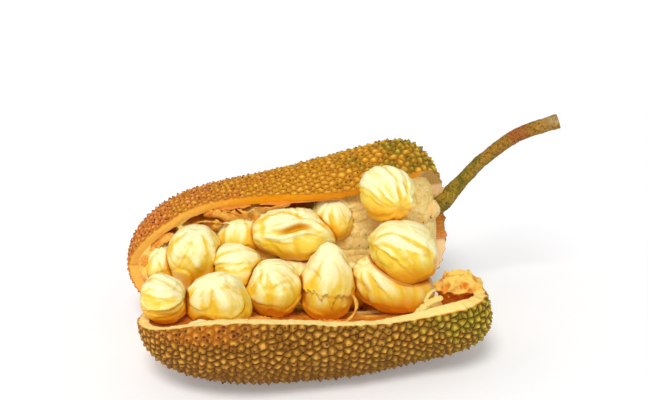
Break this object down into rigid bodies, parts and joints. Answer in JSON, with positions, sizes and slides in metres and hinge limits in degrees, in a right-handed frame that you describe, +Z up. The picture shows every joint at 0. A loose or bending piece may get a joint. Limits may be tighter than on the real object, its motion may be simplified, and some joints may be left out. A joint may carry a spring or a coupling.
{
  "type": "opened jackfruit",
  "caption": "Ripe jackfruit split lengthwise and folded open: two spiny rind halves with their fibrous flesh, a pale core, the stem and plump yellow bulbs.",
  "frame": {"origin": "middle of the flattened spot on the underside of the front half of the rind, on the surface that the fruit lies on", "axes": "+X along the fruit towards its stem end, +Z up, -Y towards the side where the fruit is opened, so the hollow of the back half looks towards -Y"},
  "size_m": [0.4932, 0.3529, 0.2337],
  "materials": {
    "rind": "matte",
    "rag": "satin",
    "bulb": "satin",
    "core": "matte",
    "stem": "matte"
  },
  "bodies": {
    "root": {"rind_front": "rind", "rind_back": "rind", "rag_front": "rag", "rag_back": "rag", "core": "core", "torn_core": "core", "stem": "stem", "bulb_01": "bulb", "bulb_02": "bulb", "bulb_03": "bulb", "bulb_04": "bulb", "bulb_05": "bulb", "bulb_06": "bulb", "bulb_07": "bulb", "bulb_08": "bulb", "bulb_09": "bulb", "bulb_10": "bulb", "bulb_11": "bulb", "bulb_12": "bulb", "bulb_13": "bulb", "bulb_14": "bulb", "bulb_15": "bulb", "bulb_16": "bulb", "bulb_17": "bulb", "bulb_18": "bulb", "bulb_19": "bulb", "bulb_20": "bulb", "bulb_21": "bulb"}
  },
  "joints": []
}
